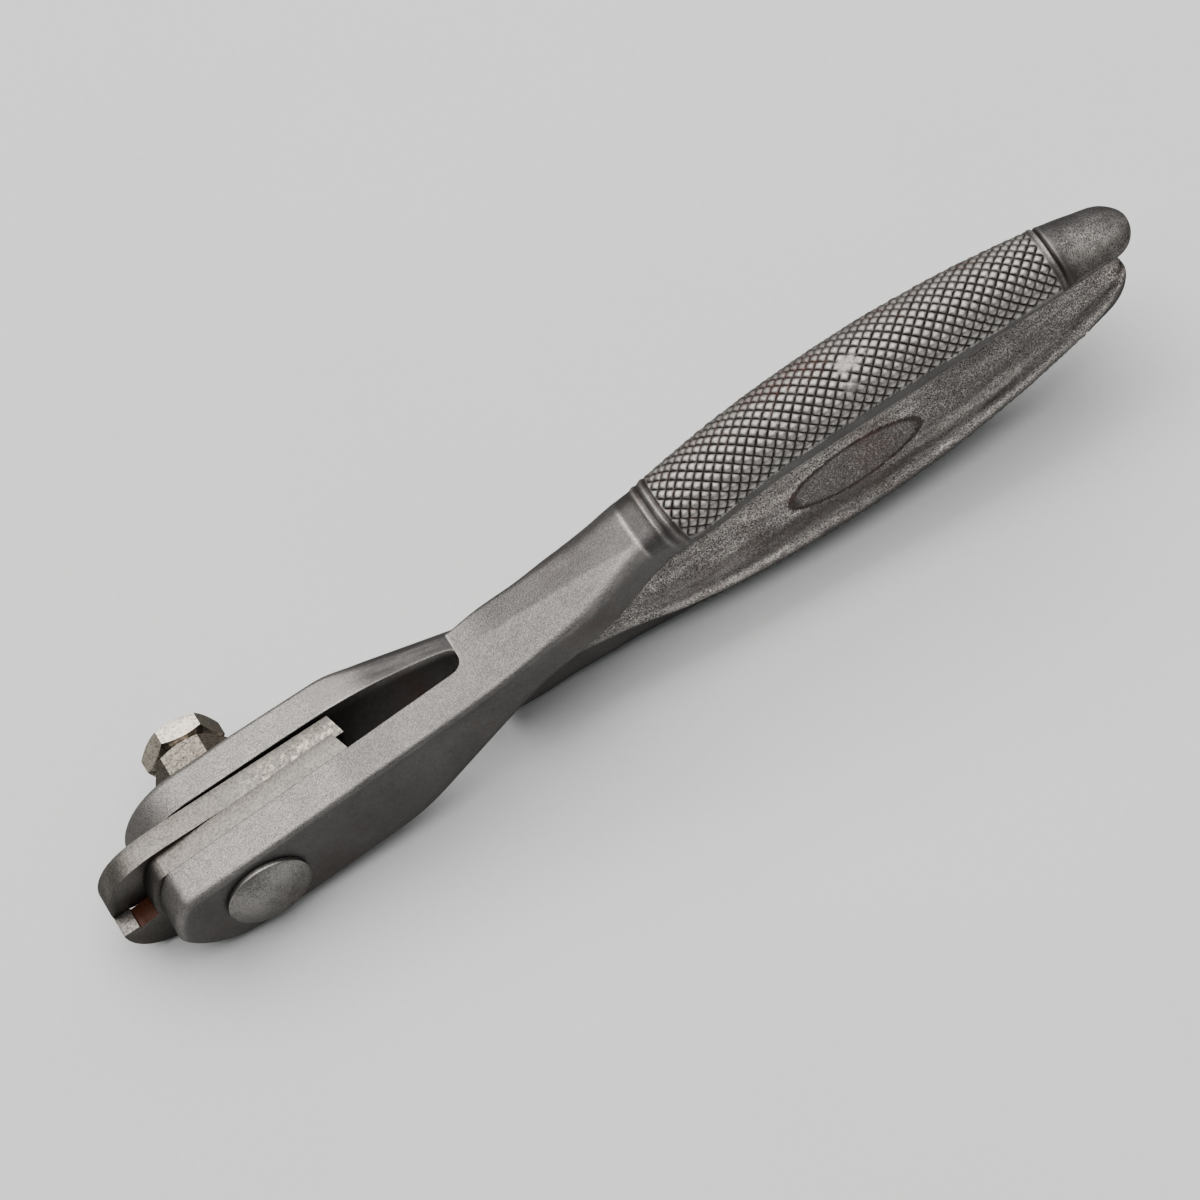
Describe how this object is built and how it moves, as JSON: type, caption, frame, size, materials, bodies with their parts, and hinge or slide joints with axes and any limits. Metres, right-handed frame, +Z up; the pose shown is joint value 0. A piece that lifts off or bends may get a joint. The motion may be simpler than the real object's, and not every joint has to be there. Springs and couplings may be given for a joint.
{
  "type": "wire cutter",
  "caption": "Hand cutter for wire: crossed forged levers with checkered grips, a stubby beak of sliding blade plates, and a bolt locked by hex nuts. Levers swing open about the bolt.",
  "frame": {"origin": "middle of the closed tool's box on the surface it stands on: the foot of the lower jaw's beak and the round back of the lower grip touch z = 0", "axes": "+X runs from the jaws to the handle tips, +Y runs along the bolt from its round head to its nuts, +Z is up, towards the upper handle"},
  "size_m": [0.1773, 0.033, 0.0387],
  "materials": {
    "forged_steel": "worn satin forging, dark in its hollows",
    "blade_steel": "ground and speckled",
    "bolt_steel": "dull, softly worn",
    "nut_steel": "warm grey, bright at the edges",
    "dowel_steel": "ground"
  },
  "bodies": {
    "lower_lever": {"lower_handle": "forged_steel", "upper_blade": "blade_steel", "upper_blade_dowel": "dowel_steel", "pivot_bolt": "bolt_steel", "pivot_nut": "nut_steel", "lock_nut": "nut_steel"},
    "upper_lever": {"upper_handle": "forged_steel", "lower_blade": "blade_steel", "lower_blade_dowel": "dowel_steel"}
  },
  "joints": [
    {"name": "handle_pivot", "type": "hinge", "parent": "lower_lever", "child": "upper_lever", "pos_m": [-0.0671, -0.00396, 0.01032], "axis": [0, -1, 0], "range_deg": [0, 36]}
  ]
}
